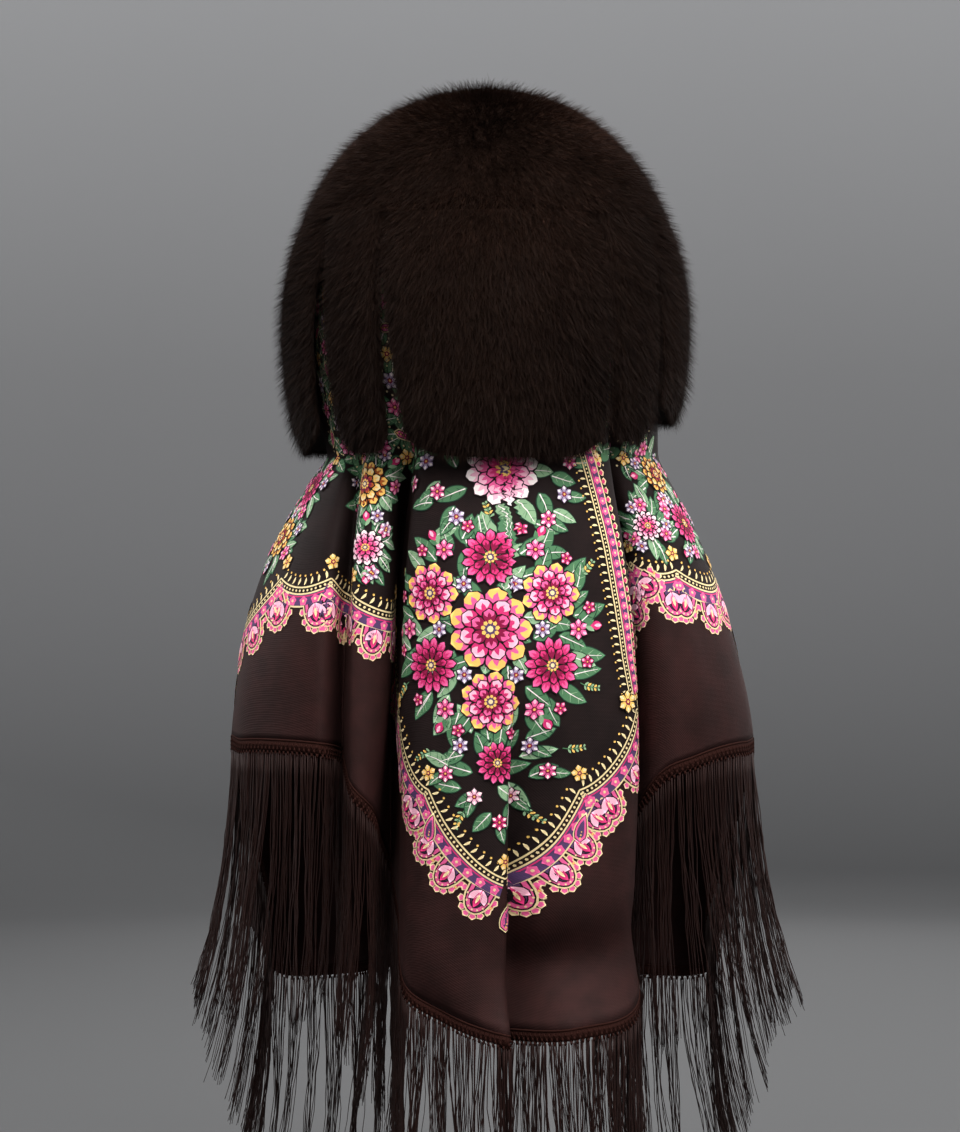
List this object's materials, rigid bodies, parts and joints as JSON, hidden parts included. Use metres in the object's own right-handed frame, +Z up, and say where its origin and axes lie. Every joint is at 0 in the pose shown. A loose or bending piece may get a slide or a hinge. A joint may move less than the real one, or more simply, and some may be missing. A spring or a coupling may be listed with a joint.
{
  "type": "fur hood with a fringed shawl",
  "caption": "Dense fur hood with cut flaps over a pleated, fringed wool shawl that hangs from it, held in its worn form.",
  "frame": {"origin": "where the top of the head meets the inside of the crown", "axes": "+Z up, +Y towards the face opening, +X to the wearer's right seen from behind"},
  "size_m": [0.4534, 0.3677, 0.8922],
  "materials": {
    "fur": "dense dark brown short-haired fur",
    "wool": "fine printed wool twill",
    "fringe_silk": "twisted silk strands"
  },
  "bodies": {
    "root": {"fur_crown": "fur", "fur_flap_side_left": "fur", "fur_flap_rear_left": "fur", "fur_flap_back": "fur", "fur_flap_rear_right": "fur", "fur_flap_side_right": "fur", "shawl": "wool", "fringe_left": "fringe_silk", "fringe_right": "fringe_silk"}
  },
  "joints": []
}
